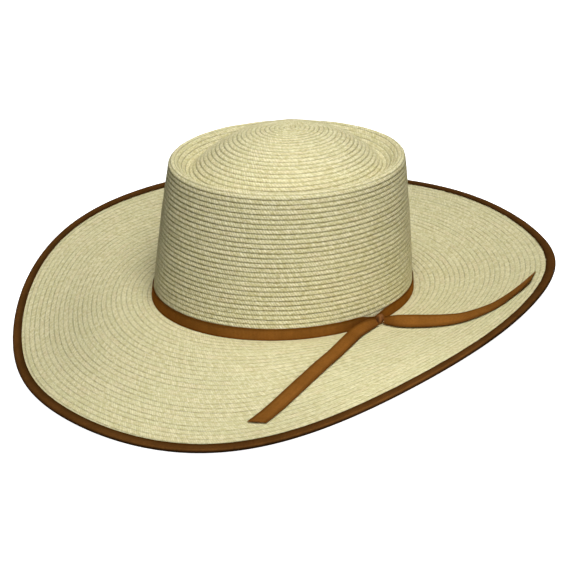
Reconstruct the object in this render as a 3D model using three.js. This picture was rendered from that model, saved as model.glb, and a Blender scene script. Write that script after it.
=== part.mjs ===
// A palm leaf hat: a hollow telescope crown and a shaped brim of sewn braid, a folded ribbon round the
// brim's edge, and a narrow ribbon band tied on the wearer's left with two loose ends.
// Millimetres. The hat is drawn in its own frame, with +X to the front, +Y to the wearer's left, +Z up the
// crown and the origin at the middle of the hat line, where crown and brim meet. At the end it is leaned back
// until it rests on the front of its brim and on the back of its head opening, as it does on a table.
import * as THREE from 'three';

// Round the head
const SEGMENTS = 60; // the same steps round every ring, so nested rings keep their gap
const HEAD_LENGTH = 200; // outside of the crown at the hat line, front to back
const HEAD_WIDTH = 171.4; // and side to side: a girth of 584, for a 57 cm head

// Thicknesses
const GAP = 0.3; // between pieces that touch
const STRAW = 2.0; // sewn palm braid
const STRAW_UNDER_RIBBON = 1.4; // the brim's last rows, pressed thin by their ribbon
const RIBBON = 1.0;

// Crown
const RIM_LENGTH = 171.2; // over the crown's upper ridge, front to back
const RIM_WIDTH = 155.4;
const RIM_HEIGHT = 101; // ridge above the hat line
const RIM_SHIFT = 0.5; // the ridge's middle lies a little to the front
const RIM_DROP = 0.033; // the ridge falls this much per unit towards the front
const WALL_BULGE = 0.8; // the side wall stands out of a straight line by this, at half height
const RIDGE_RADIUS = 3;
const CREASE_INSET = 14.2; // from the ridge in to the bottom of the ring crease
const CREASE_DEPTH = 9;
const DOME_RISE = 19; // tip of the dome above the ridge
const DOME_POWER = 2.5; // 2 is a parabola, more is flatter on top and steeper at the crease
const CROWN_FOOT = -0.7; // lower end of the crown's wall

// Brim
const BRIM_WIDTH = 103; // along the straw, from the hat line to the edge
// Slope of the brim in degrees, up towards the edge, at the hat line, half way out and at the edge.
// Turn goes round the head oval from the front over the wearer's left.
const BRIM_SECTIONS = [
  { turn: 0, atHat: -9, halfway: -23.5, atEdge: -14 },
  { turn: 30, atHat: 5, halfway: -26, atEdge: -6 },
  { turn: 60, atHat: 12, halfway: -4, atEdge: 2 },
  { turn: 90, atHat: 10, halfway: 14, atEdge: 18 },
  { turn: 120, atHat: 11.5, halfway: 19, atEdge: 22.5 },
  { turn: 150, atHat: 12, halfway: 17, atEdge: 13.5 },
  { turn: 180, atHat: 12, halfway: 18, atEdge: 11 },
  { turn: 210, atHat: 11, halfway: 15, atEdge: 13.5 },
  { turn: 240, atHat: 10, halfway: 14.5, atEdge: 21.5 },
  { turn: 270, atHat: 9, halfway: 10, atEdge: 17.5 },
  { turn: 300, atHat: 11, halfway: -4.5, atEdge: 2 },
  { turn: 330, atHat: 5, halfway: -26, atEdge: -6 },
];
const BRIM_STATIONS = [8, 22, 38, 54, 70, 84]; // where the brim's solid has rings, out from the hat line
const BINDING_WIDTH = 5.5; // how far the folded ribbon reaches over the brim on each side
const THINNING = 2; // width of the step from full straw to the pressed rows

// Band, knot and loose ends
const BAND_WIDTH = 8; // drawn tight, so it is narrower than its loose ends
const KNOT_TURN = 91.2;
const KNOT = { length: 5, height: 6.8, depth: 4.5 };
// Within this turn of the knot the band narrows by this share and stands this far off the crown
const BAND_TIE = { share: 0.35, stand: 2.2, turn: 5.5 };
// The edge of each loose end that lies on the brim: turn round the head, distance out from the hat line, lift
// over the straw, lean of the ribbon (0 lies flat, 90 stands on this edge) and its gathered or full width.
const FRONT_END = [
  { turn: 88.6, out: 8.5, lift: 0.5, lean: 65, width: 5.5 },
  { turn: 83, out: 12.9, lift: 0.8, lean: 40, width: 8 },
  { turn: 76, out: 20, lift: 0.6, lean: 20, width: 9.5 },
  { turn: 64, out: 41, lift: 0.6, lean: 5, width: 10.5 },
  { turn: 53.5, out: 61, lift: 0.6, lean: 3, width: 10.8 },
  { turn: 43.3, out: 84.8, lift: 0.6, lean: 2, width: 10.8 },
];
const BACK_END = [
  { turn: 91.4, out: 9.7, lift: 0.5, lean: 62, width: 5 },
  { turn: 90.8, out: 15.5, lift: 0.6, lean: 54, width: 7.2 },
  { turn: 90.6, out: 24, lift: 0.6, lean: 42, width: 9.5 },
  { turn: 92, out: 36, lift: 0.6, lean: 39, width: 10 },
  { turn: 95.2, out: 56, lift: 0.6, lean: 29, width: 10 },
  { turn: 99, out: 69, lift: 0.6, lean: 21, width: 10 },
  { turn: 104.8, out: 79, lift: 0.6, lean: 12, width: 10 },
  { turn: 111, out: 85, lift: 0.9, lean: -3, width: 10 },
  { turn: 118.7, out: 91.5, lift: 2.3, lean: -16, width: 10 },
];
const END_STEPS = 16; // steps along each loose end
const FRONT_CUT = 7; // both ends are cut obliquely: the crown side is longer by this
const BACK_CUT = 21;

// How it rests
const LEAN_BACK = 7; // degrees, until front brim and back of the head opening stand on one plane
const HAT_LINE_HEIGHT = 12.8; // the hat line's middle above that plane
const CENTRING = { x: 0.7, y: 0.55 }; // puts the middle of the hat's box on the origin

const STRAW_FINISH = new THREE.MeshStandardMaterial({ color: 0xd8cf9f, roughness: 0.8, metalness: 0 });
const RIBBON_FINISH = new THREE.MeshStandardMaterial({ color: 0x6e3f1a, roughness: 0.6, metalness: 0 });

const radians = THREE.MathUtils.degToRad;

// Smooth value of one column of BRIM_SECTIONS at any angle, through every row and closed round the head
function aroundTheBrim(column, angle) {
  const count = BRIM_SECTIONS.length;
  let value = 0;
  for (const row of BRIM_SECTIONS) {
    const d = angle - radians(row.turn);
    const half = Math.sin(d / 2);
    const weight = Math.abs(half) < 1e-9 ? 1 : (Math.sin((count * d) / 2) * Math.cos(d / 2)) / (count * half);
    value += weight * row[column];
  }
  return value;
}

function oval(length, width, angle) {
  return new THREE.Vector3((length / 2) * Math.cos(angle), (width / 2) * Math.sin(angle), 0);
}

function ovalOutward(length, width, angle) {
  return new THREE.Vector3(Math.cos(angle) / length, Math.sin(angle) / width, 0).normalize();
}

// Point of the brim's middle surface: angle round the head, distance out along the straw. The slope follows a
// parabola through the section's three values, and is summed in short steps.
function brimPoint(angle, out) {
  const steps = 24;
  const atHat = aroundTheBrim('atHat', angle);
  const halfway = aroundTheBrim('halfway', angle);
  const atEdge = aroundTheBrim('atEdge', angle);
  let reach = 0;
  let rise = 0;
  for (let i = 0; i < steps; i++) {
    const u = (out * (i + 0.5)) / steps / BRIM_WIDTH;
    const degrees = atHat * 2 * (u - 0.5) * (u - 1) - halfway * 4 * u * (u - 1) + atEdge * 2 * u * (u - 0.5);
    reach += (Math.cos(radians(degrees)) * out) / steps;
    rise += (Math.sin(radians(degrees)) * out) / steps;
  }
  const point = oval(HEAD_LENGTH, HEAD_WIDTH, angle);
  point.addScaledVector(ovalOutward(HEAD_LENGTH, HEAD_WIDTH, angle), reach);
  point.z = rise;
  return point;
}

// Outward direction along the straw and upward normal there
function brimFrame(angle, out) {
  const along = brimPoint(angle, out + 0.5).sub(brimPoint(angle, out - 0.5)).normalize();
  const round = brimPoint(angle + 0.005, out).sub(brimPoint(angle - 0.005, out));
  const up = new THREE.Vector3().crossVectors(along, round).normalize();
  return { along, up };
}

// A place over the brim: beyond the edge it carries on straight out
function overBrim(angle, out, height) {
  const inside = Math.min(out, BRIM_WIDTH);
  const { along, up } = brimFrame(angle, inside);
  return brimPoint(angle, inside).addScaledVector(along, out - inside).addScaledVector(up, height);
}

const seatNormal = new THREE.Vector3(Math.sin(radians(LEAN_BACK)), 0, Math.cos(radians(LEAN_BACK)));

// What would reach below the plane that the hat rests on is pressed flat onto it
function pressed(point) {
  const below = -HAT_LINE_HEIGHT - point.dot(seatNormal);
  return below > 0 ? point.addScaledVector(seatNormal, below) : point;
}

function geometryOf(points, triangles) {
  const geometry = new THREE.BufferGeometry();
  geometry.setAttribute('position', new THREE.Float32BufferAttribute(points.flatMap((p) => p.toArray()), 3));
  geometry.setIndex(triangles);
  geometry.computeVertexNormals();
  return geometry;
}

// Two triangles between neighbouring points of two neighbouring loops
function quad(a, b, c, d) {
  return [a, b, c, a, c, d];
}

// Solid ring with the section sectionAt(angle), a closed loop that runs anticlockwise seen with the outward
// direction to the right and up above
function ringSolid(sectionAt) {
  const points = [];
  const triangles = [];
  const loops = Array.from({ length: SEGMENTS }, (_, i) => sectionAt((2 * Math.PI * i) / SEGMENTS));
  const count = loops[0].length;
  loops.forEach((loop, i) => {
    points.push(...loop);
    const next = (i + 1) % SEGMENTS;
    for (let j = 0; j < count; j++) {
      const k = (j + 1) % count;
      triangles.push(...quad(i * count + j, i * count + k, next * count + k, next * count + j).reverse());
    }
  });
  return geometryOf(points, triangles);
}

// Solid shell closed by a pole at each end of its path: pathAt(angle) runs from just off the first pole to just
// off the last one
function poledSolid(pathAt, firstPole, lastPole) {
  const points = [];
  const triangles = [];
  const paths = Array.from({ length: SEGMENTS }, (_, i) => pathAt((2 * Math.PI * i) / SEGMENTS));
  const count = paths[0].length;
  paths.forEach((path, i) => {
    points.push(...path);
    const next = (i + 1) % SEGMENTS;
    for (let j = 0; j + 1 < count; j++) {
      triangles.push(...quad(i * count + j, i * count + j + 1, next * count + j + 1, next * count + j));
    }
    triangles.push(SEGMENTS * count, i * count, next * count);
    triangles.push(SEGMENTS * count + 1, next * count + count - 1, i * count + count - 1);
  });
  points.push(firstPole, lastPole);
  return geometryOf(points, triangles);
}

// Solid strip through a row of loops, closed by a flat end at each side
function stripSolid(loops) {
  const count = loops[0].length;
  const points = loops.flat();
  const triangles = [];
  for (let i = 0; i + 1 < loops.length; i++) {
    for (let j = 0; j < count; j++) {
      const k = (j + 1) % count;
      triangles.push(...quad(i * count + j, i * count + k, (i + 1) * count + k, (i + 1) * count + j));
    }
  }
  const last = (loops.length - 1) * count;
  for (let j = 1; j + 1 < count; j++) {
    triangles.push(0, j + 1, j);
    triangles.push(last, last + j, last + j + 1);
  }
  return geometryOf(points, triangles);
}

// The crown's outer profile as rings: length and width of the oval, its height, and how far it shares in the
// ridge's shift and drop
function crownRings() {
  const rings = [];
  const ridgeSide = RIDGE_RADIUS * 0.1; // the wall ends this far outside the ridge line
  const lengthTop = RIM_LENGTH + 2 * ridgeSide;
  const widthTop = RIM_WIDTH + 2 * ridgeSide;
  for (const u of [0, 0.25, 0.5, 0.75]) {
    const bulge = 2 * WALL_BULGE * Math.sin(Math.PI * u);
    rings.push({
      length: THREE.MathUtils.lerp(HEAD_LENGTH, lengthTop, u) + bulge,
      width: THREE.MathUtils.lerp(HEAD_WIDTH, widthTop, u) + bulge,
      height: THREE.MathUtils.lerp(CROWN_FOOT, RIM_HEIGHT - RIDGE_RADIUS, u),
      share: u,
    });
  }
  const onTop = (inset, height) => {
    rings.push({ length: RIM_LENGTH - 2 * inset, width: RIM_WIDTH - 2 * inset, height, share: 1 });
  };
  const ridgeMiddle = RIDGE_RADIUS - ridgeSide;
  for (const turn of [0, 45, 90, 135]) {
    const inset = ridgeMiddle - RIDGE_RADIUS * Math.cos(radians(turn));
    onTop(inset, RIM_HEIGHT - RIDGE_RADIUS * (1 - Math.sin(radians(turn))));
  }
  const creaseSide = RIDGE_RADIUS * Math.SQRT1_2;
  onTop(CREASE_INSET - creaseSide, RIM_HEIGHT - CREASE_DEPTH + RIDGE_RADIUS * (1 - Math.SQRT1_2));
  onTop(CREASE_INSET, RIM_HEIGHT - CREASE_DEPTH);
  for (const radius of [0.95, 0.85, 0.7, 0.5, 0.25]) {
    rings.push({
      length: (RIM_LENGTH - 2 * CREASE_INSET) * radius,
      width: (RIM_WIDTH - 2 * CREASE_INSET) * radius,
      height: RIM_HEIGHT - CREASE_DEPTH + (CREASE_DEPTH + DOME_RISE) * (1 - radius ** DOME_POWER),
      share: 1,
    });
  }
  return rings;
}

// Outward and upward parts of the profile's normal at ring i
function profileNormal(rings, i) {
  const tip = { length: 0, width: 0, height: RIM_HEIGHT + DOME_RISE };
  const before = rings[Math.max(i - 1, 0)];
  const after = rings[i + 1] ?? tip;
  const run = (after.length + after.width - before.length - before.width) / 4;
  const rise = after.height - before.height;
  return new THREE.Vector2(rise, -run).normalize();
}

function crownPoint(ring, normal, angle, depth) {
  const point = oval(ring.length, ring.width, angle);
  point.addScaledVector(ovalOutward(ring.length, ring.width, angle), -depth * normal.x);
  point.x += RIM_SHIFT * ring.share;
  point.z = ring.height - RIM_DROP * ring.share * point.x - depth * normal.y;
  return point;
}

function crownGeometry() {
  const rings = crownRings();
  const normals = rings.map((_, i) => profileNormal(rings, i));
  normals[0].set(1, 0); // the foot is cut level
  const pathAt = (angle) => {
    const inner = rings.map((ring, i) => pressed(crownPoint(ring, normals[i], angle, STRAW))).reverse();
    const outer = rings.map((ring, i) => pressed(crownPoint(ring, normals[i], angle, 0)));
    return [...inner, ...outer];
  };
  const tip = RIM_HEIGHT + DOME_RISE - RIM_DROP * RIM_SHIFT;
  const inside = new THREE.Vector3(RIM_SHIFT, 0, tip - STRAW);
  const outside = new THREE.Vector3(RIM_SHIFT, 0, tip);
  return poledSolid(pathAt, inside, outside);
}

function brimGeometry() {
  const thinFrom = BRIM_WIDTH - BINDING_WIDTH - THINNING;
  const stations = [GAP, ...BRIM_STATIONS, thinFrom, BRIM_WIDTH - BINDING_WIDTH, BRIM_WIDTH];
  const half = (out) => (out > thinFrom ? STRAW_UNDER_RIBBON : STRAW) / 2;
  return ringSolid((angle) => {
    const under = stations.map((out) => pressed(overBrim(angle, out, -half(out))));
    const over = stations.map((out) => overBrim(angle, out, half(out))).reverse();
    return [...under, ...over];
  });
}

// A ribbon folded over the edge: under the brim, round its edge and back over it
function bindingGeometry() {
  const inner = STRAW_UNDER_RIBBON / 2 + GAP;
  const outer = inner + RIBBON;
  const foldEnd = BRIM_WIDTH + GAP + RIBBON;
  const section = [
    { out: BRIM_WIDTH - BINDING_WIDTH, height: -outer },
    { out: BRIM_WIDTH, height: -outer },
    { out: foldEnd - RIBBON * 0.3, height: -outer * 0.6 },
    { out: foldEnd, height: 0 },
    { out: foldEnd - RIBBON * 0.3, height: outer * 0.6 },
    { out: BRIM_WIDTH, height: outer },
    { out: BRIM_WIDTH - BINDING_WIDTH, height: outer },
    { out: BRIM_WIDTH - BINDING_WIDTH, height: inner },
    { out: BRIM_WIDTH + GAP, height: inner },
    { out: BRIM_WIDTH + GAP, height: -inner },
    { out: BRIM_WIDTH - BINDING_WIDTH, height: -inner },
  ];
  return ringSolid((angle) => section.map(({ out, height }) => pressed(overBrim(angle, out, height))));
}

// How the side wall's outside stands at a height above the hat line
function wallPoint(angle, height, off) {
  const u = (height - CROWN_FOOT) / (RIM_HEIGHT - RIDGE_RADIUS - CROWN_FOOT);
  const bulge = 2 * WALL_BULGE * Math.sin(Math.PI * u);
  const length = THREE.MathUtils.lerp(HEAD_LENGTH, RIM_LENGTH, u) + bulge;
  const width = THREE.MathUtils.lerp(HEAD_WIDTH, RIM_WIDTH, u) + bulge;
  const point = oval(length, width, angle).addScaledVector(ovalOutward(length, width, angle), off);
  point.x += RIM_SHIFT * u;
  point.z = height;
  return point;
}

function bandGeometry() {
  return ringSolid((angle) => {
    const fromKnot = (THREE.MathUtils.radToDeg(angle) - KNOT_TURN) / BAND_TIE.turn;
    const nearKnot = Math.exp(-fromKnot * fromKnot);
    const pinch = BAND_WIDTH * BAND_TIE.share * nearKnot;
    const low = STRAW / 2 + GAP + pinch / 2;
    const high = low + BAND_WIDTH - pinch;
    const off = GAP + BAND_TIE.stand * nearKnot;
    return [
      wallPoint(angle, low, off),
      wallPoint(angle, low, off + RIBBON),
      wallPoint(angle, high, off + RIBBON),
      wallPoint(angle, high, off),
    ];
  });
}

// The wrap of ribbon that holds the tie: a short barrel whose axis runs along the band
function knotGeometry() {
  const end = KNOT.length / 2;
  const profile = [
    new THREE.Vector2(0, -end),
    new THREE.Vector2(0.8, -end),
    new THREE.Vector2(1, -end / 3),
    new THREE.Vector2(1, end / 3),
    new THREE.Vector2(0.8, end),
    new THREE.Vector2(0, end),
  ];
  const barrel = new THREE.LatheGeometry(profile, 14);
  barrel.scale(KNOT.depth / 2, 1, KNOT.height / 2);
  return barrel;
}

function knotMesh() {
  const angle = radians(KNOT_TURN);
  const outward = ovalOutward(HEAD_LENGTH, HEAD_WIDTH, angle);
  const mesh = new THREE.Mesh(knotGeometry(), RIBBON_FINISH);
  const off = 2 * GAP + BAND_TIE.stand + RIBBON + KNOT.depth / 2;
  const height = brimPoint(angle, off).z + STRAW / 2 + GAP + KNOT.height / 2;
  mesh.position.copy(wallPoint(angle, height, off));
  mesh.rotation.z = Math.atan2(outward.y, outward.x);
  return mesh;
}

// One loose end: the rows are joined by a smooth curve, and the strip's thickness lies over its foot edge.
// crownSide is 1 where the crown lies to the left of the way along the ribbon, -1 where it lies to the right.
function looseEndGeometry(rows, cut, crownSide) {
  const route = new THREE.CatmullRomCurve3(rows.map((row) => new THREE.Vector3(row.turn, row.out, row.lift)));
  const shape = new THREE.CatmullRomCurve3(rows.map((row) => new THREE.Vector3(row.lean, row.width, 0)));
  const foot = (u) => {
    const at = route.getPoint(u);
    return overBrim(radians(at.x), at.y, STRAW / 2 + at.z);
  };
  const loops = [];
  for (let i = 0; i <= END_STEPS; i++) {
    const u = i / END_STEPS;
    const at = route.getPoint(u);
    const { x: lean, y: width } = shape.getPoint(u);
    const { up } = brimFrame(radians(at.x), at.y);
    const forward = foot(Math.min(u + 0.01, 1)).sub(foot(Math.max(u - 0.01, 0))).normalize();
    const inward = new THREE.Vector3().crossVectors(up, forward).multiplyScalar(crownSide).normalize();
    const across = inward.multiplyScalar(Math.cos(radians(lean))).addScaledVector(up, Math.sin(radians(lean)));
    const face = new THREE.Vector3().crossVectors(forward, across).normalize();
    face.multiplyScalar(Math.sign(face.dot(up)) || 1);
    const far = across.clone().multiplyScalar(width).addScaledVector(forward, cut * u ** 8);
    const low = foot(u);
    const loop = [low, low.clone().add(far)];
    loop.push(loop[1].clone().addScaledVector(face, RIBBON), loop[0].clone().addScaledVector(face, RIBBON));
    loops.push(loop);
  }
  return stripSolid(loops);
}

// Turns a closed solid's faces outward where its loops run the other way round
function facingOut(geometry) {
  const position = geometry.getAttribute('position');
  const index = geometry.getIndex();
  const [a, b, c] = [new THREE.Vector3(), new THREE.Vector3(), new THREE.Vector3()];
  let volume = 0;
  for (let i = 0; i < index.count; i += 3) {
    a.fromBufferAttribute(position, index.getX(i));
    b.fromBufferAttribute(position, index.getX(i + 1));
    c.fromBufferAttribute(position, index.getX(i + 2));
    volume += a.dot(b.cross(c)) / 6;
  }
  if (volume < 0) {
    geometry.setIndex(Array.from(index.array).reverse());
    geometry.computeVertexNormals();
  }
  return geometry;
}

function named(name, mesh) {
  mesh.name = name;
  return mesh;
}

const hat = new THREE.Group();
hat.add(named('crown', new THREE.Mesh(facingOut(crownGeometry()), STRAW_FINISH)));
hat.add(named('brim', new THREE.Mesh(facingOut(brimGeometry()), STRAW_FINISH)));
hat.add(named('edge_binding', new THREE.Mesh(facingOut(bindingGeometry()), RIBBON_FINISH)));
hat.add(named('hat_band', new THREE.Mesh(facingOut(bandGeometry()), RIBBON_FINISH)));
hat.add(named('band_knot', knotMesh()));
const tailFront = looseEndGeometry(FRONT_END, FRONT_CUT, -1);
const tailBack = looseEndGeometry(BACK_END, BACK_CUT, 1);
hat.add(named('tail_front', new THREE.Mesh(facingOut(tailFront), RIBBON_FINISH)));
hat.add(named('tail_back', new THREE.Mesh(facingOut(tailBack), RIBBON_FINISH)));
hat.rotation.y = -radians(LEAN_BACK);
hat.position.set(CENTRING.x, CENTRING.y, HAT_LINE_HEIGHT);

const model = new THREE.Group();
model.add(hat);
export default model;
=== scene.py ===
import math

import bmesh
import bpy
import numpy as np
from mathutils import Matrix, Vector


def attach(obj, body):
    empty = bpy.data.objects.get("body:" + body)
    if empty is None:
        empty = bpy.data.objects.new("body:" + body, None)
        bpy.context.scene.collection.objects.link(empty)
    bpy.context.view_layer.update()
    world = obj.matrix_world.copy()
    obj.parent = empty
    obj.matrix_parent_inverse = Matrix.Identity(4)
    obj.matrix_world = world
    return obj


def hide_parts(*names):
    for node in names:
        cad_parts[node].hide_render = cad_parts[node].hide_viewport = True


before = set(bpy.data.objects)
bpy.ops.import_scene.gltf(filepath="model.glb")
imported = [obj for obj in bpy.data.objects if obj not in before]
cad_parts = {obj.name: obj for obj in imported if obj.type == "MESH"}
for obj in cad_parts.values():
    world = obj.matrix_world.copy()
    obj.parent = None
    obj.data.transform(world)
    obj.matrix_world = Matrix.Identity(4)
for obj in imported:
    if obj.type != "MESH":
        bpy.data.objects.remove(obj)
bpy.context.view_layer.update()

# The finish of a palm leaf hat: two shells of sewn palm braid, and grosgrain ribbon round the edge and crown.
# Lengths are millimetres in the hat's own frame: +X to the front, +Y to the wearer's left, +Z up the crown,
# and the origin at the middle of the hat line. to_row() leans the hat back as it rests, in metres.

# Round the head: the outside of the crown at the hat line
HEAD_LENGTH = 200.0
HEAD_WIDTH = 171.4
GAP = 0.3  # between pieces that touch
STRAW = 2.0  # thickness of the braid

# Crown
RIM_LENGTH = 171.2  # over the upper ridge, front to back
RIM_WIDTH = 155.4
RIM_HEIGHT = 101.0
RIM_SHIFT = 0.5  # the ridge's middle lies a little to the front
RIM_DROP = 0.033  # the ridge falls this much per unit towards the front
WALL_BULGE = 0.8  # the wall stands this far out of a straight line, at half height
RIDGE_RADIUS = 3.0
RIDGE_SIDE = 0.3  # the wall ends this far outside the ridge line
CREASE_INSET = 14.2  # from the ridge in to the bottom of the ring crease
CREASE_DEPTH = 9.0
CREASE_ROUNDING = 1.2
DOME_RISE = 19.0  # tip of the dome over the ridge
DOME_POWER = 2.5  # 2 is a parabola, more is flatter on top
CROWN_FOOT = -0.7
DOME_RINGS = 80
WALL_RINGS = 60
PROFILE_SPACING = 0.25

# Brim: slope in degrees at the hat line, half way out and at the edge. Turn goes round the head in degrees,
# from the front over the wearer's left.
BRIM_WIDTH = 103.0  # along the straw
SLOPE_STEPS = 24
BRIM_SECTIONS = [
    {"turn": 0, "at_hat": -9, "halfway": -23.5, "at_edge": -14},
    {"turn": 30, "at_hat": 5, "halfway": -26, "at_edge": -6},
    {"turn": 60, "at_hat": 12, "halfway": -4, "at_edge": 2},
    {"turn": 90, "at_hat": 10, "halfway": 14, "at_edge": 18},
    {"turn": 120, "at_hat": 11.5, "halfway": 19, "at_edge": 22.5},
    {"turn": 150, "at_hat": 12, "halfway": 17, "at_edge": 13.5},
    {"turn": 180, "at_hat": 12, "halfway": 18, "at_edge": 11},
    {"turn": 210, "at_hat": 11, "halfway": 15, "at_edge": 13.5},
    {"turn": 240, "at_hat": 10, "halfway": 14.5, "at_edge": 21.5},
    {"turn": 270, "at_hat": 9, "halfway": 10, "at_edge": 17.5},
    {"turn": 300, "at_hat": 11, "halfway": -4.5, "at_edge": 2},
    {"turn": 330, "at_hat": 5, "halfway": -26, "at_edge": -6},
]

# Rows of braid: the outer edge of each row stands over the next one. Across is a share of the row's width,
# and relief is measured from the groove.
CROWN_PITCH = 3.3
BRIM_PITCH = 3.66
OUTER_RELIEF = [
    {"across": 0.0, "relief": 0.0},
    {"across": 0.12, "relief": 0.12},
    {"across": 0.35, "relief": 0.42},
    {"across": 0.65, "relief": 0.66},
    {"across": 0.86, "relief": 0.72},
    {"across": 0.95, "relief": 0.5},
    {"across": 1.0, "relief": 0.0},
]
UNDER_RELIEF = [
    {"across": 0.0, "relief": 0.0},
    {"across": 0.12, "relief": 0.35},
    {"across": 0.5, "relief": 0.42},
    {"across": 0.85, "relief": 0.2},
    {"across": 1.0, "relief": 0.0},
]
INSIDE_RELIEF = [
    {"across": 0.0, "relief": 0.0},
    {"across": 0.3, "relief": 0.35},
    {"across": 1.0, "relief": 0.0},
]
GROOVE_DEPTH = 0.45  # the crown's grooves lie this far under its smooth outline, before its share
CROWN_RELIEF = 0.65  # share of the relief that the crown shows outside
BRIM_RELIEF = 0.15  # and the brim above, which is pressed flatter
RELIEF_WANDER = {"share": 0.25, "slowest": 3, "fastest": 19}  # how a row's relief wanders along it
PLACE_WANDER = {"share": 0.035, "slowest": 2, "fastest": 9}  # how a row's own place does
CROWN_STEPS = 200
BRIM_STEPS = 320
CROWN_SEED = 11
BRIM_SEED = 23

# The brim's edge, pressed where the ribbon holds it
GROOVE_HALF = 0.8  # half the straw's thickness at the grooves
PRESSED_HALF = 0.5
PRESSED_RELIEF = 0.3  # share of the relief that is left
THINNING = 2.5  # width of the step to pressed straw
FLATTENING = 1.5  # width of the step to pressed relief

# Ribbons
RIBBON_THICKNESS = 0.7
SOLID_RIBBON = 1.0  # thickness of the band's solid in the frame
BINDING_WIDTH = 5.5  # how far the folded ribbon reaches over the brim
BINDING_LEAF = 1.25  # middle of each of its leaves, off the middle of the brim
BINDING_FOLD = 0.4  # its fold starts this far inside the brim's edge
BINDING_WAVER = 0.25
BINDING_STEPS = 400
BAND_WIDTH = 8.4
BAND_FOOT = 0.7
BAND_SLACK = 0.12  # its edges wander up and down by this
BAND_GATHER = 0.3  # depth of its folds at the knot
BAND_CROWNING = 0.15  # its middle stands out by this
BAND_STEPS = 400
KNOT_TURN = 91.2
KNOT_LENGTH = 5.0
KNOT_HEIGHT = 6.8
KNOT_DEPTH = 4.5
# About the knot the band narrows by this share and stands this far off the crown, fading over this turn
TIE_SHARE = 0.35
TIE_STAND = 2.2
TIE_TURN = 5.5
# The edge of each loose end that lies on the brim: turn round the head, distance out from the hat line, lift
# over the straw, lean of the ribbon (0 lies flat, 90 stands on this edge) and its gathered or full width.
FRONT_END = [
    {"turn": 88.6, "out": 8.5, "lift": 0.5, "lean": 65, "width": 5.5},
    {"turn": 83, "out": 12.9, "lift": 0.8, "lean": 40, "width": 8},
    {"turn": 76, "out": 20, "lift": 0.6, "lean": 20, "width": 9.5},
    {"turn": 64, "out": 41, "lift": 0.6, "lean": 5, "width": 10.5},
    {"turn": 53.5, "out": 61, "lift": 0.6, "lean": 3, "width": 10.8},
    {"turn": 43.3, "out": 84.8, "lift": 0.6, "lean": 2, "width": 10.8},
]
BACK_END = [
    {"turn": 91.4, "out": 9.7, "lift": 0.5, "lean": 62, "width": 5},
    {"turn": 90.8, "out": 15.5, "lift": 0.6, "lean": 54, "width": 7.2},
    {"turn": 90.6, "out": 24, "lift": 0.6, "lean": 42, "width": 9.5},
    {"turn": 92, "out": 36, "lift": 0.6, "lean": 39, "width": 10},
    {"turn": 95.2, "out": 56, "lift": 0.6, "lean": 29, "width": 10},
    {"turn": 99, "out": 68.7, "lift": 0.6, "lean": 20, "width": 9.4},
    {"turn": 104.8, "out": 78.2, "lift": 0.6, "lean": 11, "width": 8.8},
    {"turn": 111, "out": 84.2, "lift": 0.9, "lean": -3, "width": 8.4},
    {"turn": 119, "out": 91.5, "lift": 2.1, "lean": -17, "width": 8.4},
]
FRONT_CUT = 7.0  # the oblique cut makes the crown side longer by this
BACK_CUT = 21.0
END_GATHERED = 0.07  # share of a loose end that is gathered at the knot
END_GATHER = 0.45  # depth of the folds there
END_CUPPING = 0.3  # the middle stands over the edges by this
END_WAVE = 0.15
END_STEPS = 260
# A ribbon's section: place across it, and the share of half its thickness at which each face stands there
RIBBON_SECTION = [
    {"across": 0.0, "face": 0.0},
    {"across": 0.015, "face": 0.85},
    {"across": 0.06, "face": 1.0},
    {"across": 0.15, "face": 0.8},
    {"across": 0.3, "face": 0.85},
    {"across": 0.5, "face": 0.9},
    {"across": 0.7, "face": 0.85},
    {"across": 0.85, "face": 0.8},
    {"across": 0.94, "face": 1.0},
    {"across": 0.985, "face": 0.85},
    {"across": 1.0, "face": 0.0},
]

# How it rests
LEAN_BACK = 7.0  # degrees
HAT_LINE_HEIGHT = 12.8
CENTRING = (0.7, 0.55)  # puts the middle of the hat's box on the origin

# Lights: azimuth and rise in degrees, then metres away, the size of the lamp, its power and the height that
# it looks at
LIGHTS = [
    {"name": "key", "azimuth": 73, "rise": 70, "away": 1.15, "size": 0.55, "watts": 13.8, "aim": 0.06},
    {"name": "low front", "azimuth": 54, "rise": 14, "away": 1.6, "size": 0.4, "watts": 5.5, "aim": 0.06},
    {"name": "near front", "azimuth": 72, "rise": 8, "away": 0.2, "size": 0.12, "watts": 0.018, "aim": 0.02},
    {"name": "back", "azimuth": 225, "rise": 45, "away": 1.8, "size": 1.0, "watts": 0.5, "aim": 0.06},
]
SKY_STRENGTH = 0.08
FLOOR_REACH = 15  # metres each way

# Camera, in the hat's own frame: angles in degrees, the lens and the sensor's width in millimetres
CAMERA_PLACE = (634.2, 651.1, 383.2)
CAMERA_AZIMUTH = 45.62
CAMERA_ELEVATION = 22.86
CAMERA_ROLL = 1.69
CAMERA_LENS = 85.45
CAMERA_SENSOR = 36.0

WELD = 1e-6  # metres
MM = 0.001


def column(table, name):
    return np.array([row[name] for row in table], float)


RIBBON_ACROSS = column(RIBBON_SECTION, "across")
RIBBON_FACE = column(RIBBON_SECTION, "face")


def oval(length, width, angle):
    x = length / 2 * np.cos(angle)
    y = width / 2 * np.sin(angle)
    return np.stack([x, y, np.zeros_like(x)], -1)


def oval_outward(length, width, angle):
    """Level direction square to the oval. It is kept defined where the oval shrinks to a point."""
    tiny = 1e-9
    x = (width + tiny) * np.cos(angle)
    y = (length + tiny) * np.sin(angle)
    size = np.hypot(x, y)
    return np.stack([x / size, y / size, np.zeros_like(x)], -1)


def unit(vectors):
    return vectors / np.linalg.norm(vectors, axis=-1, keepdims=True)


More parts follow.
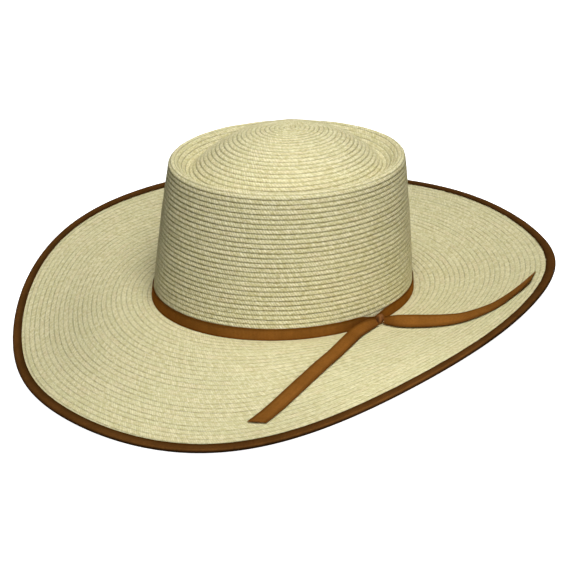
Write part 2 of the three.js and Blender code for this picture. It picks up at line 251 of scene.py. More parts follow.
def around_the_brim(name, angle):
    """Value of one column of BRIM_SECTIONS at any angle: the smoothest closed wave through its even rows."""
    count = len(BRIM_SECTIONS)
    value = np.zeros_like(angle)
    for row in BRIM_SECTIONS:
        d = angle - math.radians(row["turn"])
        half = np.sin(d / 2)
        near = np.abs(half) < 1e-9
        weight = np.sin(count * d / 2) * np.cos(d / 2) / (count * np.where(near, 1, half))
        value = value + np.where(near, 1, weight) * row[name]
    return value


def brim_point(angle, out):
    """Point of the brim's middle surface: angle round the head, distance out along the straw."""
    angle, out = np.broadcast_arrays(np.asarray(angle, float), np.asarray(out, float))
    at_hat = around_the_brim("at_hat", angle)
    halfway = around_the_brim("halfway", angle)
    at_edge = around_the_brim("at_edge", angle)
    step = out / SLOPE_STEPS
    reach = np.zeros_like(out)
    rise = np.zeros_like(out)
    for i in range(SLOPE_STEPS):
        u = step * (i + 0.5) / BRIM_WIDTH
        slope = at_hat * 2 * (u - 0.5) * (u - 1) - halfway * 4 * u * (u - 1) + at_edge * 2 * u * (u - 0.5)
        reach = reach + np.cos(np.radians(slope)) * step
        rise = rise + np.sin(np.radians(slope)) * step
    point = oval(HEAD_LENGTH, HEAD_WIDTH, angle)
    point = point + oval_outward(HEAD_LENGTH, HEAD_WIDTH, angle) * reach[..., None]
    point[..., 2] = rise
    return point


def brim_frame(angle, out):
    """Outward direction along the straw, and the upward normal there."""
    along = unit(brim_point(angle, out + 0.5) - brim_point(angle, out - 0.5))
    around = brim_point(angle + 0.005, out) - brim_point(angle - 0.005, out)
    return along, unit(np.cross(along, around))


def over_brim(angle, out, height):
    """A place over the brim: beyond the edge it carries on straight out."""
    angle, out, height = np.broadcast_arrays(*(np.asarray(a, float) for a in (angle, out, height)))
    inside = np.minimum(out, BRIM_WIDTH)
    along, up = brim_frame(angle, inside)
    return brim_point(angle, inside) + along * (out - inside)[..., None] + up * height[..., None]


def smoothed(values, spacing, rounding):
    """Rounds the corners of evenly spaced values over about this length, and keeps both ends."""
    reach = int(4 * rounding / spacing)
    kernel = np.exp(-0.5 * (np.arange(-reach, reach + 1) * spacing / rounding) ** 2)
    before = 2 * values[0] - values[reach:0:-1]
    after = 2 * values[-1] - values[-2:-reach - 2:-1]
    return np.convolve(np.concatenate([before, values, after]), kernel / kernel.sum(), "valid")


def crown_profile():
    """The crown's outer profile from the tip to the foot: arc length, the oval's length and width, height,
    share in the ridge's shift and drop, and the normal's outward and upward parts."""
    dome_length = RIM_LENGTH - 2 * CREASE_INSET
    dome_width = RIM_WIDTH - 2 * CREASE_INSET
    crease_height = RIM_HEIGHT - CREASE_DEPTH
    rings = []
    for radius in np.linspace(0, 1, DOME_RINGS):
        height = crease_height + (CREASE_DEPTH + DOME_RISE) * (1 - radius ** DOME_POWER)
        rings.append((dome_length * radius, dome_width * radius, height, 1))
    for turn in range(135, -1, -15):
        inset = RIDGE_RADIUS - RIDGE_SIDE - RIDGE_RADIUS * math.cos(math.radians(turn))
        height = RIM_HEIGHT - RIDGE_RADIUS * (1 - math.sin(math.radians(turn)))
        rings.append((RIM_LENGTH - 2 * inset, RIM_WIDTH - 2 * inset, height, 1))
    for u in np.linspace(1, 0, WALL_RINGS)[1:]:
        bulge = 2 * WALL_BULGE * math.sin(math.pi * u)
        length = HEAD_LENGTH + (RIM_LENGTH + 2 * RIDGE_SIDE - HEAD_LENGTH) * u + bulge
        width = HEAD_WIDTH + (RIM_WIDTH + 2 * RIDGE_SIDE - HEAD_WIDTH) * u + bulge
        rings.append((length, width, CROWN_FOOT + (RIM_HEIGHT - RIDGE_RADIUS - CROWN_FOOT) * u, u))
    rings = np.array(rings, float)

    steps = np.hypot(np.diff(rings[:, 0] + rings[:, 1]) / 4, np.diff(rings[:, 2]))
    arc = np.concatenate([[0], np.cumsum(steps)])
    even = np.linspace(0, arc[-1], int(arc[-1] / PROFILE_SPACING))
    evened = (np.interp(even, arc, values) for values in rings.T)
    length, width, height, share = (smoothed(values, PROFILE_SPACING, CREASE_ROUNDING) for values in evened)
    run = np.gradient(length + width) / 4
    rise = np.gradient(height)
    size = np.hypot(run, rise)
    return even, length, width, height, share, -rise / size, run / size


PROFILE_ARC, *PROFILE_COLUMNS = crown_profile()


def over_crown(arc, angle, lift):
    """A place over the crown's skin: arc length from the tip, angle round the head, lift along the normal."""
    length, width, height, share, out, up = (np.interp(arc, PROFILE_ARC, c) for c in PROFILE_COLUMNS)
    point = oval(length, width, angle) + oval_outward(length, width, angle) * (lift * out)[..., None]
    point[..., 0] += RIM_SHIFT * share
    point[..., 2] = height - RIM_DROP * share * point[..., 0] + lift * up
    return point


def wall_point(angle, height, off):
    """A place off the outside of the crown's wall, at a height above the hat line."""
    u = (height - CROWN_FOOT) / (RIM_HEIGHT - RIDGE_RADIUS - CROWN_FOOT)
    bulge = 2 * WALL_BULGE * np.sin(np.pi * u)
    length = HEAD_LENGTH + (RIM_LENGTH - HEAD_LENGTH) * u + bulge
    width = HEAD_WIDTH + (RIM_WIDTH - HEAD_WIDTH) * u + bulge
    point = oval(length, width, angle) + oval_outward(length, width, angle) * off[..., None]
    point[..., 0] += RIM_SHIFT * u
    point[..., 2] = height
    return point


def lean_back(vectors):
    """Turns directions of the hat's own frame into the row's."""
    cosine = math.cos(math.radians(LEAN_BACK))
    sine = math.sin(math.radians(LEAN_BACK))
    x, y, z = np.moveaxis(np.asarray(vectors, float), -1, 0)
    return np.stack([x * cosine - z * sine, y, x * sine + z * cosine], -1)


def to_row(points, floor=0.0):
    """The hat leaned back on its rest, in metres. What would reach below floor is pressed flat onto it."""
    row = lean_back(points) + (*CENTRING, HAT_LINE_HEIGHT)
    row[..., 2] = np.maximum(row[..., 2], floor)
    return row * MM


def wander(seed, slowest, fastest):
    """A smooth wandering function of one variable, between about -1 and 1, the same on each run."""
    waves = 9
    draw = np.random.default_rng(seed)
    rates = draw.uniform(slowest, fastest, waves)
    phases = draw.uniform(0, 2 * np.pi, waves)

    def value(t):
        total = sum(np.sin(2 * np.pi * rate * t + phase) for rate, phase in zip(rates, phases))
        return total / math.sqrt(waves) * 0.8

    return value


class Patches:
    """Grids of points, each with its place in a texture, welded into one closed mesh."""

    def __init__(self):
        self.points = []
        self.places = []
        self.faces = []
        self.count = 0

    def add(self, points, places):
        """Adds a grid of points in metres, with a place for each or one for all."""
        n, m = points.shape[:2]
        index = self.count + np.arange(n * m).reshape(n, m)
        corners = [index[:-1, :-1], index[1:, :-1], index[1:, 1:], index[:-1, 1:]]
        self.faces.append(np.stack(corners, -1).reshape(-1, 4))
        self.points.append(points.reshape(-1, 3))
        self.places.append(np.broadcast_to(places, points.shape).reshape(-1, 3))
        self.count += n * m

    def piece(self, name, material, slot):
        """The finished object: a smooth closed mesh that rides on the hat."""
        faces = np.concatenate(self.faces)
        places = np.concatenate(self.places)
        mesh = bpy.data.meshes.new(name)
        mesh.from_pydata(np.concatenate(self.points).tolist(), [], faces.tolist())
        layer = mesh.attributes.new("place", "FLOAT_VECTOR", "CORNER")
        layer.data.foreach_set("vector", places[faces.ravel()].astype(np.float32).ravel())
        work = bmesh.new()
        work.from_mesh(mesh)
        bmesh.ops.remove_doubles(work, verts=work.verts, dist=WELD)
        bmesh.ops.recalc_face_normals(work, faces=work.faces)
        for face in work.faces:
            face.smooth = True
        work.to_mesh(mesh)
        work.free()
        mesh.materials.append(material)
        piece = bpy.data.objects.new(name, mesh)
        bpy.context.scene.collection.objects.link(piece)
        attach(piece, "root")
        return piece


def row_relief(table, seed):
    """Relief of a skin of sewn rows, as a function of the place across a row and the turn of the spiral."""
    unevenness = wander(seed, RELIEF_WANDER["slowest"], RELIEF_WANDER["fastest"])

    def relief_at(across, turn):
        smooth = np.interp(across, column(table, "across"), column(table, "relief"))
        return smooth * (1 + RELIEF_WANDER["share"] * unevenness(turn))

    return relief_at


def braid_skin(patches, point_at, steps, rows, table, seed):
    """One skin of a spiral of sewn rows. point_at(place, angle, relief) takes the place in rows from the
    first one. The texture place is the length along the braid, the place across it and the spiral's turn."""
    across_lines = column(table, "across")
    relief_at = row_relief(table, seed)
    place_wander = wander(seed + 1, PLACE_WANDER["slowest"], PLACE_WANDER["fastest"])
    turn = np.linspace(0, 1, steps + 1)[:, None]
    angle = 2 * np.pi * turn

    def placed(row, across):
        place = np.clip(row + across + turn, 0, rows)
        across = place - row - turn
        t = row + turn
        fade = np.clip(np.minimum(place, rows - place), 0, 1)
        shift = (1 - across) * place_wander(t) + across * place_wander(t + 1)
        return place + PLACE_WANDER["share"] * shift * fade, across, relief_at(across, t)

    along = 0.0
    for row in range(-1, rows):
        place, across, relief = placed(row, across_lines[None, :])
        points = point_at(place, angle, relief)
        middle = to_row(point_at(placed(row, np.array([[0.5]]))[0], angle, 0 * turn))[:, 0] / MM
        length = np.concatenate([[0], np.cumsum(np.linalg.norm(np.diff(middle, axis=0), axis=1))])
        places = np.stack(np.broadcast_arrays(along + length[:, None], across, row + turn), -1)
        patches.add(to_row(points), places)
        along += length[-1]


def skin_edge(point_at, place, table, seed):
    """The edge of a skin at a whole number of rows, as a function of the angle."""
    relief_at = row_relief(table, seed)

    def edge(angle):
        turn = angle / (2 * np.pi)
        return point_at(np.full_like(angle, place), angle, relief_at(1 - turn, place - 1 + turn))

    return edge


def ring_bridge(patches, one, other, steps):
    """Joins two closed edges, each given by a function of the angle, by one row of faces."""
    angle = np.linspace(0, 2 * np.pi, steps + 1)[:, None]
    points = np.concatenate([one(angle), other(angle)], 1)
    patches.add(to_row(points), np.zeros_like(points))


class Shader:
    """Short calls for the nodes of one material."""

    def __init__(self, name):
        self.material = bpy.data.materials.new(name)
        self.material.use_nodes = True
        self.nodes = self.material.node_tree.nodes
        self.links = self.material.node_tree.links
        self.surface = self.nodes["Principled BSDF"]

    def put(self, value, socket):
        if isinstance(value, bpy.types.NodeSocket):
            self.links.new(value, socket)
        else:
            socket.default_value = value

    def set(self, **values):
        for name, value in values.items():
            self.put(value, self.surface.inputs[name.replace("_", " ")])

    def math(self, operation, *values):
        node = self.nodes.new("ShaderNodeMath")
        node.operation = operation
        for socket, value in zip(node.inputs, values):
            self.put(value, socket)
        return node.outputs[0]

    def place(self):
        """Along, across and third value of the mesh's own texture place."""
        attribute = self.nodes.new("ShaderNodeAttribute")
        attribute.attribute_name = "place"
        split = self.nodes.new("ShaderNodeSeparateXYZ")
        self.links.new(attribute.outputs["Vector"], split.inputs[0])
        return split.outputs

    def noise(self, length, scale, detail):
        """Noise along one length."""
        node = self.nodes.new("ShaderNodeTexNoise")
        node.noise_dimensions = "1D"
        self.put(length, node.inputs["W"])
        node.inputs["Scale"].default_value = scale
        node.inputs["Detail"].default_value = detail
        node.inputs["Roughness"].default_value = 0.5
        return node.outputs[0]

    def noise_over(self, x, y, z, detail, roughness=0.6):
        """Noise over three values that are already scaled."""
        node = self.nodes.new("ShaderNodeTexNoise")
        node.noise_dimensions = "3D"
        self.put(self.combine(x, y, z), node.inputs["Vector"])
        node.inputs["Scale"].default_value = 1
        node.inputs["Detail"].default_value = detail
        node.inputs["Roughness"].default_value = roughness
        return node.outputs[0]

    def random(self, number):
        """A value from 0 to 1 that is drawn anew for each number."""
        node = self.nodes.new("ShaderNodeTexWhiteNoise")
        node.noise_dimensions = "1D"
        self.put(number, node.inputs["W"])
        return node.outputs["Value"]

    def ramp(self, value, low, high, out_low=0.0, out_high=1.0):
        """Smooth step of value between low and high."""
        node = self.nodes.new("ShaderNodeMapRange")
        node.interpolation_type = "SMOOTHSTEP"
        node.inputs["From Min"].default_value = low
        node.inputs["From Max"].default_value = high
        node.inputs["To Min"].default_value = out_low
        node.inputs["To Max"].default_value = out_high
        self.put(value, node.inputs["Value"])
        return node.outputs[0]

    def combine(self, x, y, z):
        node = self.nodes.new("ShaderNodeCombineXYZ")
        for socket, value in zip(node.inputs, (x, y, z)):
            self.put(value, socket)
        return node.outputs[0]

    def mix(self, factor, one, other):
        """From the first colour at a factor of 0 to the other one at 1."""
        node = self.nodes.new("ShaderNodeMix")
        node.data_type = "RGBA"
        colour_a, colour_b, colour_out = 6, 7, 2  # the colour sockets' numbers
        self.put(factor, node.inputs["Factor"])
        self.put(one, node.inputs[colour_a])
        self.put(other, node.inputs[colour_b])
        return node.outputs[colour_out]

    def bump(self, height, distance):
        """Relief in the shading alone, distance being the millimetres of a height of 1."""
        node = self.nodes.new("ShaderNodeBump")
        node.inputs["Strength"].default_value = 1
        node.inputs["Distance"].default_value = distance * MM
        self.put(height, node.inputs["Height"])
        self.links.new(node.outputs[0], self.surface.inputs["Normal"])


def colour(red, green, blue):
    """A linear colour from the sRGB values of 0 to 255 that it shows as."""
    def linear(value):
        value /= 255
        return value / 12.92 if value <= 0.04045 else ((value + 0.055) / 1.055) ** 2.4
    return (linear(red), linear(green), linear(blue), 1)


DULL_STRAND = colour(214, 206, 156)
PALE_STRAND = colour(230, 222, 178)
GREEN_STRETCH = colour(212, 209, 160)
WARM_BLOTCH = colour(222, 205, 164)
FIBRE_SHADE = colour(190, 178, 122)
PALE_STREAK = colour(244, 238, 204)
DARK_STREAK = colour(196, 184, 128)
# Painted highlight along each strand's crest
PAINTED_STRAND_HIGHLIGHT = colour(255, 252, 226)
# Painted shade in the gaps at the strands' edges
PAINTED_STRAND_GAP_SHADE = colour(168, 155, 98)
# Painted shade for the grooves between rows of braid
PAINTED_GROOVE_SHADE = colour(80, 66, 14)
# Painted shade for the binding's under leaf
PAINTED_UNDERSIDE_SHADE = colour(30, 20, 12)


def palm_braid(name, painted_groove_shade, dashes, stroke_contrast, stroke_pitch, streaks):
    """Plaited palm leaf: slanting strands across each row, each with a painted highlight along its crest and
    painted shade at its edges, painted shade in the grooves between rows, and leaf tones that wander along
    the braid. dashes is how far the painted shade in the grooves is broken up."""
    slant = 2.4
    shader = Shader(name)
    along, across, turn = shader.place()

    # Strands: they slant across the row, a little unevenly, and each has a number and a tone
    wave = shader.math("MULTIPLY", shader.noise(along, 0.09, 2), 3.5)
    uneven = shader.noise_over(shader.math("MULTIPLY", along, 0.22), 0, turn, 2)
    wide_turn = shader.math("MULTIPLY", turn, 0.7)
    tight = shader.noise_over(shader.math("MULTIPLY", along, 0.02), 0, wide_turn, 2, 0.5)
    slanted = shader.math("ADD", shader.math("SUBTRACT", along, shader.math("MULTIPLY", across, slant)), wave)
    stroke = shader.math("DIVIDE", slanted, stroke_pitch)
    number = shader.math("FLOOR", stroke)
    inside = shader.math("ABSOLUTE", shader.math("SUBTRACT", shader.math("FRACT", stroke), 0.5))
    strand_edge = shader.ramp(inside, 0.22, 0.48)
    painted_highlight_profile = shader.ramp(inside, 0.0, 0.3, 1, 0)
    strand_tone = shader.random(number)
    clearer = shader.ramp(shader.noise(along, 0.035, 2), 0.3, 0.6, 0.5, 1)
    contrast = shader.math("MULTIPLY", clearer, stroke_contrast)

    # Grooves: painted shade at both sides of each row, broken up along it
    wobble = shader.math("MULTIPLY_ADD", uneven, 0.3, shader.math("SUBTRACT", across, 0.15))
    upper = shader.ramp(wobble, 0.02, 0.34, 1, 0)
    lower = shader.ramp(across, 0.92, 1.0)
    tightness = shader.ramp(tight, 0.35, 0.6, 1 - 0.8 * dashes, 1)
    broken = shader.math("MULTIPLY", shader.ramp(uneven, 0.35, 0.62, 1 - dashes, 1), tightness)
    either_side = shader.math("MAXIMUM", upper, shader.math("MULTIPLY", lower, 0.5))
    groove_shade_mask = shader.math("MULTIPLY", either_side, broken)

    # Leaf: fibres along the strands, streaks along the row, and slow changes of tone
    fibre = shader.noise_over(shader.math("MULTIPLY", slanted, 3.1), across, turn, 3)
    across_more = shader.math("MULTIPLY", across, 3.2)
    streak = shader.noise_over(shader.math("MULTIPLY", along, 0.4), across_more, turn, 2)
    stretch = shader.noise(along, 0.012, 3)
    blotch = shader.noise(along, 0.05, 2)

    tone = shader.mix(shader.ramp(strand_tone, 0.0, 1.0), DULL_STRAND, PALE_STRAND)
    tone = shader.mix(shader.ramp(stretch, 0.35, 0.65, 0, 0.5), tone, GREEN_STRETCH)
    tone = shader.mix(shader.ramp(blotch, 0.5, 0.75, 0, 0.35), tone, WARM_BLOTCH)
    tone = shader.mix(shader.ramp(fibre, 0.35, 0.75, 0.0, 0.25), tone, FIBRE_SHADE)
    tone = shader.mix(shader.ramp(streak, 0.5, 0.68, 0, streaks), tone, PALE_STREAK)
    tone = shader.mix(shader.ramp(streak, 0.34, 0.5, streaks, 0), tone, DARK_STREAK)
    # A painted highlight along each strand's crest
    painted_highlight = shader.math("MULTIPLY", shader.math("MULTIPLY", painted_highlight_profile, strand_tone), contrast)
    tone = shader.mix(painted_highlight, tone, PAINTED_STRAND_HIGHLIGHT)
    # Painted shade in the gaps at each strand's edges
    tone = shader.mix(shader.math("MULTIPLY", strand_edge, contrast), tone, PAINTED_STRAND_GAP_SHADE)
    # Painted shade in the grooves between rows
    tone = shader.mix(shader.math("MULTIPLY", groove_shade_mask, painted_groove_shade), tone, PAINTED_GROOVE_SHADE)

    strand_height = shader.math("SUBTRACT", 1.0, shader.math("MULTIPLY", strand_edge, 0.8))
    height = shader.math("ADD", strand_height, shader.math("MULTIPLY", strand_tone, 0.5))
    height = shader.math("ADD", height, shader.math("MULTIPLY", fibre, 0.3))
    shader.bump(height, 0.22)
    shader.set(Base_Color=tone, Roughness=shader.ramp(strand_tone, 0, 1, 0.6, 0.8))
    shader.set(Specular_IOR_Level=0.2)
    return shader.material


def grosgrain(name, base, dark, fold=0.0):
    """Ribbed ribbon: fine ribs across its width, darker woven edges, and worn tones along it. fold is the
    strength of painted shade that darkens the ribbon from its middle on, on the under leaf where it turns
    under an edge."""
    rib_pitch = 0.9
    shader = Shader(name)
    along, across, side = shader.place()
    rib = shader.math("SINE", shader.math("MULTIPLY", along, 2 * math.pi / rib_pitch))
    from_middle = shader.math("ABSOLUTE", shader.math("SUBTRACT", across, 0.5))
    edge = shader.ramp(from_middle, 0.22, 0.5)
    worn = shader.noise(along, 0.05, 3)
    across_more = shader.math("MULTIPLY", across, 9)
    thread = shader.noise_over(shader.math("MULTIPLY", along, 0.7), across_more, side, 3)
    tone = shader.mix(shader.ramp(rib, -1, 1, 0, 0.35), base, dark)
    tone = shader.mix(shader.ramp(worn, 0.35, 0.7, 0, 0.3), tone, dark)
    tone = shader.mix(shader.ramp(thread, 0.4, 0.7, 0, 0.25), tone, dark)
    tone = shader.mix(shader.math("MULTIPLY", edge, 0.8), tone, dark)
    # Painted shade on the under leaf, past the fold
    tone = shader.mix(shader.ramp(across, 0.42, 0.52, 0, fold), tone, PAINTED_UNDERSIDE_SHADE)
    height = shader.math("ADD", shader.math("MULTIPLY", rib, 0.5), thread)
    shader.bump(height, 0.1)
    shader.set(Base_Color=tone, Metallic=0.65, Roughness=0.66)
    shader.set(Specular_IOR_Level=0.0, Specular_Tint=(1, 0.5, 0.15, 1))
    return shader.material


def ribbon_faces(patches, surface, lengths, ends):
    """A ribbon's two faces. surface(across, off) gives a row of points for each step along the ribbon, off
    being millimetres off its middle. With ends, both are closed by a strip from face to face."""
    sides = []
    for side in (1, -1):
        points = surface(RIBBON_ACROSS[None, :], side * RIBBON_FACE[None, :] * RIBBON_THICKNESS / 2)
        places = np.stack(np.broadcast_arrays(lengths[:, None], RIBBON_ACROSS[None, :], 0.5 * side), -1)
        patches.add(points, places)
        sides.append(points)
    if ends:
        for step in (0, -1):
            cap = np.stack([sides[0][step], sides[1][step]])
            patches.add(cap, np.array([lengths[step], 0.5, 0]))


def step_lengths(points):
    """Length along a row of points in metres, in millimetres."""
    return np.concatenate([[0], np.cumsum(np.linalg.norm(np.diff(points, axis=0), axis=1))]) / MM


def crown(material):
    """The crown's spiral of braid, outside and inside, closed at its foot."""
    rows = round(PROFILE_ARC[-1] / CROWN_PITCH)
    pitch = PROFILE_ARC[-1] / rows
    patches = Patches()

    def outside(place, angle, relief):
        return over_crown(place * pitch, angle, CROWN_RELIEF * (relief - GROOVE_DEPTH))

    def inside(place, angle, relief):
        return over_crown(place * pitch, angle, -STRAW + GROOVE_DEPTH - relief)

    braid_skin(patches, outside, CROWN_STEPS, rows, OUTER_RELIEF, CROWN_SEED)
    braid_skin(patches, inside, CROWN_STEPS, rows, INSIDE_RELIEF, CROWN_SEED)
    foot_outside = skin_edge(outside, rows, OUTER_RELIEF, CROWN_SEED)
    foot_inside = skin_edge(inside, rows, INSIDE_RELIEF, CROWN_SEED)
    ring_bridge(patches, foot_outside, foot_inside, CROWN_STEPS)
    piece = patches.piece("braid_crown", material, "palm_braid")
    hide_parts("crown")


def brim(material):
    """The brim's spiral of braid, above and below, closed round the head and under the binding."""
    inner_edge = GAP
    rows = round((BRIM_WIDTH - inner_edge) / BRIM_PITCH)
    pitch = (BRIM_WIDTH - inner_edge) / rows
    ribbon_from = BRIM_WIDTH - BINDING_WIDTH
    patches = Patches()

    def half_thickness(out):
        """Half the straw's thickness at the grooves."""
        return np.interp(out, [ribbon_from - THINNING, ribbon_from], [GROOVE_HALF, PRESSED_HALF])

    def shrink(out):
        """Share of the rows' relief that isn't pressed flat."""
        return np.interp(out, [ribbon_from - FLATTENING, ribbon_from], [1, PRESSED_RELIEF])

    def above(place, angle, relief):
        out = inner_edge + place * pitch
        return over_brim(angle, out, half_thickness(out) + BRIM_RELIEF * relief * shrink(out))

    def below(place, angle, relief):
        out = inner_edge + place * pitch
        return over_brim(angle, out, -half_thickness(out) - relief * shrink(out))

    braid_skin(patches, above, BRIM_STEPS, rows, OUTER_RELIEF, BRIM_SEED)
    braid_skin(patches, below, BRIM_STEPS, rows, UNDER_RELIEF, BRIM_SEED)
    for place in (0, rows):
        edge_above = skin_edge(above, place, OUTER_RELIEF, BRIM_SEED)
        edge_below = skin_edge(below, place, UNDER_RELIEF, BRIM_SEED)
        ring_bridge(patches, edge_above, edge_below, BRIM_STEPS)
    piece = patches.piece("braid_brim", material, "palm_braid")
    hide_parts("brim")


def edge_binding(material):
    """Ribbon folded over the brim's edge. Its middle follows a path: a top leaf, a fold and an under leaf."""
    leaf = BINDING_LEAF
    fold_from = BRIM_WIDTH - BINDING_FOLD
    top_out = np.linspace(BRIM_WIDTH - BINDING_WIDTH, fold_from, 6)
    top_height = np.full_like(top_out, leaf)
    fold = np.radians(np.linspace(90, -90, 9))[1:-1]
    path_out = np.concatenate([top_out, fold_from + leaf * np.cos(fold), top_out[::-1]])
    path_height = np.concatenate([top_height, leaf * np.sin(fold), -top_height])
    path_length = np.concatenate([[0], np.cumsum(np.hypot(np.diff(path_out), np.diff(path_height)))])
    path_place = path_length / path_length[-1]
    tangent_out = np.gradient(path_out, path_length)
    tangent_height = np.gradient(path_height, path_length)
    angle = np.linspace(0, 2 * np.pi, BINDING_STEPS + 1)[:, None]
    waver = BINDING_WAVER * wander(5, 6, 40)(angle) * np.sin(angle / 2) ** 2
    across_lines = np.unique(np.concatenate([path_place, RIBBON_ACROSS[:3], RIBBON_ACROSS[-3:]]))
    face = np.interp(across_lines, RIBBON_ACROSS, RIBBON_FACE)
    near_edge = np.clip(1 - np.minimum(across_lines, 1 - across_lines) / 0.3, 0, 1)
    middle_out, middle_height, leaning_out, leaning_up = (
        np.interp(across_lines, path_place, values)
        for values in (path_out, path_height, tangent_out, tangent_height)
    )
    patches = Patches()
    middle = to_row(over_brim(angle, np.full_like(angle, fold_from), 0 * angle))[:, 0]
    lengths = step_lengths(middle)
    for side in (1, -1):
        off = side * face * RIBBON_THICKNESS / 2
        out = (middle_out - off * leaning_up)[None, :] + waver * near_edge[None, :]
        height = (middle_height + off * leaning_out)[None, :]
        floor = 0.0 if side > 0 else RIBBON_THICKNESS
        places = np.stack(np.broadcast_arrays(lengths[:, None], across_lines[None, :], 0.5 * side), -1)
        patches.add(to_row(over_brim(angle, out, height), floor), places)
    piece = patches.piece("ribbon_binding", material, "brown_ribbon")
    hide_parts("edge_binding")


def hat_band(material):
    """The band round the crown's foot, pinched, gathered and standing off where it is tied."""
    angle = np.linspace(0, 2 * np.pi, BAND_STEPS + 1)[:, None]
    from_knot = (np.degrees(angle) - KNOT_TURN) / TIE_TURN
    near_knot = np.exp(-from_knot ** 2)
    stand = TIE_STAND * near_knot
    # Behind the knot it is pinched less, and its lower edge gives way less than its upper one
    pinch = BAND_WIDTH * TIE_SHARE * near_knot * np.where(from_knot > 0, 0.6, 1)
    low = BAND_FOOT + pinch * 0.4
    high = low + BAND_WIDTH - pinch
    gathers = np.exp(-(from_knot * 1.1) ** 2)
    slack = wander(7, 1, 6)(angle) * np.sin(angle / 2) ** 2

    def surface(across, off):
        height = low + (high - low) * across + BAND_SLACK * slack
        fold = BAND_GATHER * gathers * (1 + np.sin(2 * np.pi * 2.5 * across + 3 * from_knot))
        crowned = BAND_CROWNING * np.sin(np.pi * across)
        return to_row(wall_point(angle, height, GAP + RIBBON_THICKNESS / 2 + stand + off + fold + crowned))

    patches = Patches()
    lengths = step_lengths(surface(np.array([[0.5]]), np.array([[0.0]]))[:, 0])
    ribbon_faces(patches, surface, lengths, ends=False)
    piece = patches.piece("ribbon_band", material, "brown_ribbon")
    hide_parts("hat_band")


def band_knot(material):
    """The wrap of gathered ribbon that holds the tie: its folds run over it from the brim to the crown."""
    angle = np.radians(KNOT_TURN)
    out = oval_outward(HEAD_LENGTH, HEAD_WIDTH, angle)
    away = 2 * GAP + TIE_STAND + SOLID_RIBBON + KNOT_DEPTH / 2
    height = brim_point(angle, away)[2] + STRAW / 2 + GAP + KNOT_HEIGHT / 2
    centre = wall_point(angle, np.asarray(height), np.asarray(away))
    around = np.array([-out[1], out[0], 0])
    turn = np.linspace(0, 2 * np.pi, 49)[None, :]
    end = np.linspace(-1, 1, 33)[:, None]
    barrel = (1 - np.abs(end) ** 5 * 0.35) * np.sqrt(np.clip(1 - np.abs(end) ** 14, 0, 1))
    over_folds = np.pi * 1.5 * end + 0.35 * np.sin(turn + 0.6)
    fold = 0.8 + 0.2 * np.abs(np.cos(over_folds)) ** 0.7
    radius = barrel * fold
    points = (
        centre
        + out * (KNOT_DEPTH / 2 * radius * np.cos(turn))[..., None]
        + np.array([0, 0, 1]) * (KNOT_HEIGHT / 2 * radius * np.sin(turn))[..., None]
        + around * (KNOT_LENGTH / 2 * end * (1 + 0.04 * np.cos(2 * turn)))[..., None]
    )
    patches = Patches()
    places = np.broadcast_arrays(turn * KNOT_HEIGHT / 2, 0.15 + 0.7 * np.abs(end), 0.0)
    patches.add(to_row(points), np.stack(places, -1))
    piece = patches.piece("ribbon_knot", material, "brown_ribbon")
    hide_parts("band_knot")


def through_rows(rows, name, u):
    """Smooth curve through one column of the rows, at u from 0 to 1."""
    values = column(rows, name)
    padded = np.concatenate([[2 * values[0] - values[1]], values, [2 * values[-1] - values[-2]]])
    place = u * (len(values) - 1)
    cell = np.minimum(place.astype(int), len(values) - 2)
    f = place - cell
    before, start, end, after = (padded[cell + k] for k in range(4))
    slope_start = (end - before) / 2
    slope_end = (after - start) / 2
    return (
        start * (1 + 2 * f) * (1 - f) ** 2
        + slope_start * f * (1 - f) ** 2
        + end * f ** 2 * (3 - 2 * f)
        + slope_end * f ** 2 * (f - 1)
    )


def loose_end(name, node, rows, cut, crown_side, material, seed):
    """A loose end of the tie, laid on the brim. crown_side is 1 where the crown lies to the left of the way
    along the ribbon, and -1 where it lies to the right."""
    u = np.linspace(0, 1, END_STEPS + 1)

    def foot(u):
        turn, out, lift = (through_rows(rows, value, u) for value in ("turn", "out", "lift"))
        return over_brim(np.radians(turn), out, STRAW / 2 + lift), np.radians(turn), out

    low, turn, out = foot(u)
    forward = unit(foot(np.minimum(u + 0.01, 1))[0] - foot(np.maximum(u - 0.01, 0))[0])
    up = brim_frame(turn, out)[1]
    inward = unit(crown_side * np.cross(up, forward))
    lean = np.radians(through_rows(rows, "lean", u))
    width = through_rows(rows, "width", u)
    aside = inward * np.cos(lean)[:, None] + up * np.sin(lean)[:, None]
    # The face that shows is the one that looks up
    face = unit(np.cross(forward, aside))
    face = face * np.sign((face * up).sum(-1) + 1e-9)[:, None]
    gathered = np.exp(-(u / END_GATHERED) ** 2)[:, None]
    wave = END_WAVE * wander(seed, 2, 6)(u)[:, None]

    def surface(across, off):
        # The edge that lies on the brim is drawn into small scallops
        scallop = 0.12 * np.sin(2 * np.pi * lengths / 1.6)[:, None] * (across < 0.01)
        aside_by = width[:, None] * across - scallop
        forward_by = cut * across * u[:, None] ** 8
        cupped = END_CUPPING * (1 - (2 * across - 1) ** 2)
        folds = END_GATHER * (1 + np.sin(2 * np.pi * 2.2 * across))
        off = off + RIBBON_THICKNESS / 2 + folds * gathered + (cupped + wave) * (1 - gathered)
        points = low[:, None] + aside[:, None] * aside_by[..., None]
        points = points + forward[:, None] * forward_by[..., None]
        return to_row(points + face[:, None] * off[..., None])

    lengths = step_lengths(to_row(low + aside * width[:, None] / 2))
    patches = Patches()
    ribbon_faces(patches, surface, lengths, ends=True)
    piece = patches.piece(name, material, "brown_ribbon")
    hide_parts(node)


def looking_back(azimuth, elevation):
    """Direction from what is looked at back to who looks, from angles in degrees."""
    a = math.radians(azimuth)
    e = math.radians(elevation)
    return np.array([math.cos(a) * math.cos(e), math.sin(a) * math.cos(e), math.sin(e)])


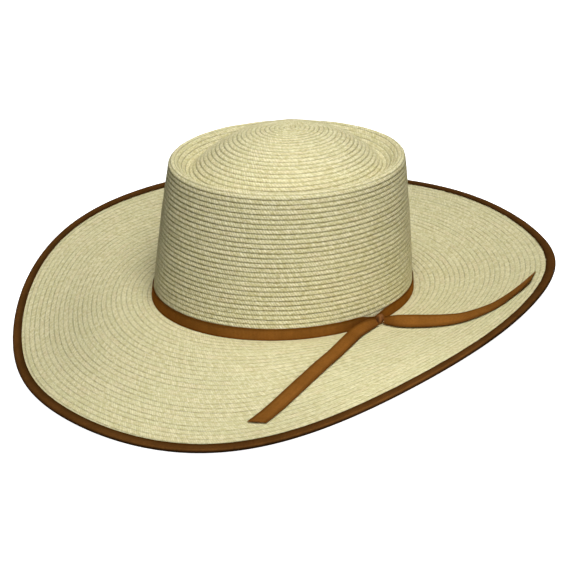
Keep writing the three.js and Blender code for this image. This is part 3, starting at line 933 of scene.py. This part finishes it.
def light(row):
    """A square soft light that looks at the hat, from a row of LIGHTS."""
    back = Vector(looking_back(row["azimuth"], row["rise"]))
    data = bpy.data.lights.new(row["name"], "AREA")
    data.size = row["size"]
    data.energy = row["watts"]
    lamp = bpy.data.objects.new(row["name"], data)
    lamp.location = Vector((0, 0, row["aim"])) + back * row["away"]
    lamp.rotation_euler = back.to_track_quat("Z", "Y").to_euler()
    bpy.context.scene.collection.objects.link(lamp)


def camera():
    """The photograph's view. The camera leans back with the hat."""
    azimuth = math.radians(CAMERA_AZIMUTH)
    roll = math.radians(CAMERA_ROLL)
    back = looking_back(CAMERA_AZIMUTH, CAMERA_ELEVATION)
    right = np.array([-math.sin(azimuth), math.cos(azimuth), 0])
    up = np.cross(back, right)
    turned_right = math.cos(roll) * right + math.sin(roll) * up
    turned_up = -math.sin(roll) * right + math.cos(roll) * up
    axes = lean_back(np.stack([turned_right, turned_up, back]))
    data = bpy.data.cameras.new("camera")
    data.lens = CAMERA_LENS
    data.sensor_width = CAMERA_SENSOR
    data.clip_start = 0.01
    view = bpy.data.objects.new("camera", data)
    turned = Matrix([axes[:, k] for k in range(3)]).to_4x4()
    view.matrix_world = Matrix.Translation(Vector(to_row(np.array(CAMERA_PLACE)))) @ turned
    bpy.context.scene.collection.objects.link(view)
    bpy.context.scene.camera = view


def studio():
    """A white floor that lights nothing, a faint sky and the lights."""
    shader = Shader("pale_floor")
    shader.set(Base_Color=(0.9, 0.9, 0.9, 1), Roughness=0.9, Specular_IOR_Level=0.0)
    shader.set(Emission_Color=(1, 1, 1, 1), Emission_Strength=1.0)
    mesh = bpy.data.meshes.new("floor")
    corners = [(-1, -1), (1, -1), (1, 1), (-1, 1)]
    mesh.from_pydata([(x * FLOOR_REACH, y * FLOOR_REACH, 0) for x, y in corners], [], [(0, 1, 2, 3)])
    mesh.materials.append(shader.material)
    floor = bpy.data.objects.new("floor", mesh)
    bpy.context.scene.collection.objects.link(floor)
    floor.visible_diffuse = False
    floor.visible_glossy = False
    world = bpy.data.worlds.new("pale_sky")
    world.use_nodes = True
    sky = world.node_tree.nodes["Background"]
    sky.inputs["Color"].default_value = (1, 1, 1, 1)
    sky.inputs["Strength"].default_value = SKY_STRENGTH
    bpy.context.scene.world = world
    bpy.context.scene.view_settings.view_transform = "Standard"
    for row in LIGHTS:
        light(row)


camera()
studio()

crown_straw = palm_braid(
    "crown_braid", painted_groove_shade=0.72, dashes=0.6, stroke_contrast=0.3, stroke_pitch=1.9, streaks=0.7
)
brim_straw = palm_braid(
    "brim_braid", painted_groove_shade=0.6, dashes=0.8, stroke_contrast=0.22, stroke_pitch=1.5, streaks=0.5
)
ribbon = grosgrain("brown_grosgrain", base=colour(160, 106, 46), dark=colour(98, 60, 18))
# The binding's under leaf gets painted shade
edge_ribbon = grosgrain("edge_grosgrain", base=colour(118, 77, 36), dark=colour(66, 42, 16), fold=0.8)
knot_ribbon = grosgrain("knot_grosgrain", base=colour(164, 112, 66), dark=colour(96, 60, 30))
crown(crown_straw)
brim(brim_straw)
edge_binding(edge_ribbon)
hat_band(ribbon)
band_knot(knot_ribbon)
loose_end("ribbon_front_end", "tail_front", FRONT_END, FRONT_CUT, -1, ribbon, 31)
loose_end("ribbon_back_end", "tail_back", BACK_END, BACK_CUT, 1, ribbon, 37)
